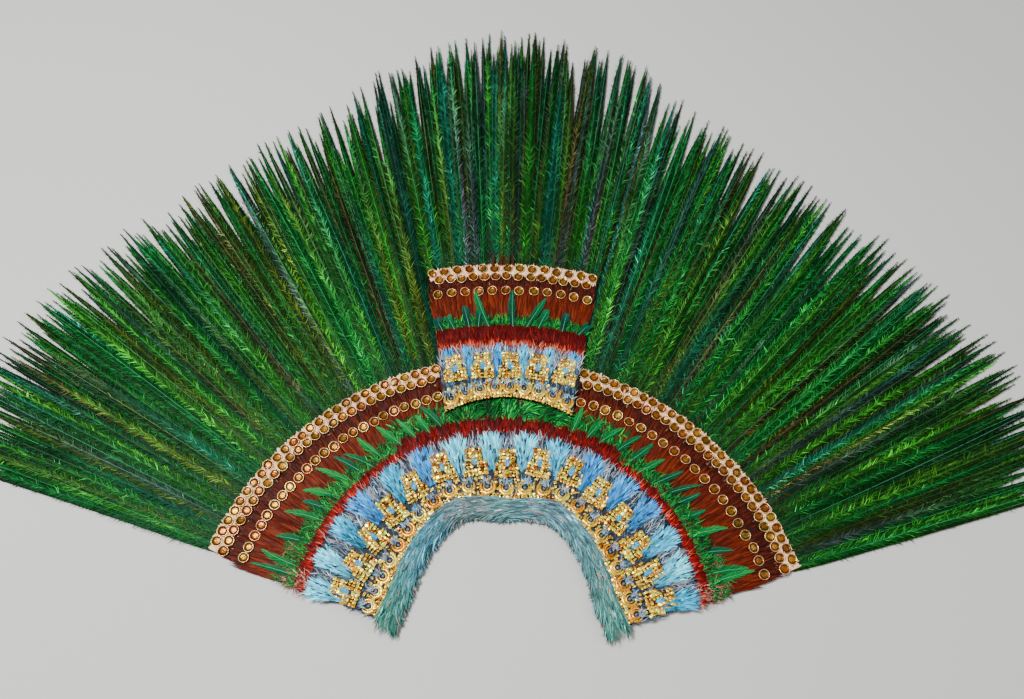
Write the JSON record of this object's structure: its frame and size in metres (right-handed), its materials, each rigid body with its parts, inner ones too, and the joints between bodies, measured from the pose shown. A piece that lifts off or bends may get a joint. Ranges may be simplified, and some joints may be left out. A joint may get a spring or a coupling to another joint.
{
  "type": "feathered headdress",
  "caption": "Semicircular feather headdress lying face up: long green plumes behind a crescent of feather bands with gold ornaments, and a raised tongue in the middle.",
  "frame": {"origin": "centre of the footprint, on the surface that the headdress lies on", "axes": "+X across the fan, +Y from the head opening towards the top plumes, +Z out of the face"},
  "size_m": [1.7576, 1.1516, 0.0188],
  "materials": {
    "fibre": "plant-fibre netting, matt",
    "edging": "pale pinkish strip, matt",
    "gold": "thin beaten gold, satin with light rims",
    "brown_feathers": "smooth rust-brown feathers",
    "green_feathers": "emerald feathers with a soft sheen",
    "red_feathers": "deep red feathers",
    "blue_feathers": "turquoise-blue feathers, frayed",
    "trim_feathers": "turquoise-green feathers laid along the strip",
    "plumes": "long iridescent green tail plumes"
  },
  "bodies": {
    "root": {"backing_main": "fibre", "backing_tongue": "fibre", "brown_band_left": "brown_feathers", "edging_left": "edging", "disc_row_left": "gold", "brown_band_right": "brown_feathers", "edging_right": "edging", "disc_row_right": "gold", "brown_band_tongue": "brown_feathers", "edging_tongue": "edging", "disc_row_tongue": "gold", "green_band": "green_feathers", "green_band_tongue": "green_feathers", "red_band": "red_feathers", "red_band_tongue": "red_feathers", "blue_band": "blue_feathers", "blue_band_tongue": "blue_feathers", "plaque_01": "gold", "plaque_02": "gold", "plaque_03": "gold", "plaque_04": "gold", "plaque_05": "gold", "plaque_06": "gold", "plaque_07": "gold", "plaque_08": "gold", "plaque_09": "gold", "plaque_10": "gold", "plaque_11": "gold", "plaque_12": "gold", "plaque_13": "gold", "plaque_14": "gold", "plaque_15": "gold", "tongue_plaque_1": "gold", "tongue_plaque_2": "gold", "tongue_plaque_3": "gold", "tongue_plaque_4": "gold", "tongue_plaque_5": "gold", "crescent_row": "gold", "crescent_row_tongue": "gold", "trim_left_leg": "trim_feathers", "trim_left_bend": "trim_feathers", "trim_top": "trim_feathers", "trim_right_bend": "trim_feathers", "trim_right_leg": "trim_feathers", "plumes_left_1": "plumes", "plumes_left_2": "plumes", "plumes_left_3": "plumes", "plumes_left_4": "plumes", "plumes_right_1": "plumes", "plumes_right_2": "plumes", "plumes_right_3": "plumes", "plumes_right_4": "plumes", "plumes_tongue_1": "plumes", "plumes_tongue_2": "plumes"}
  },
  "joints": []
}
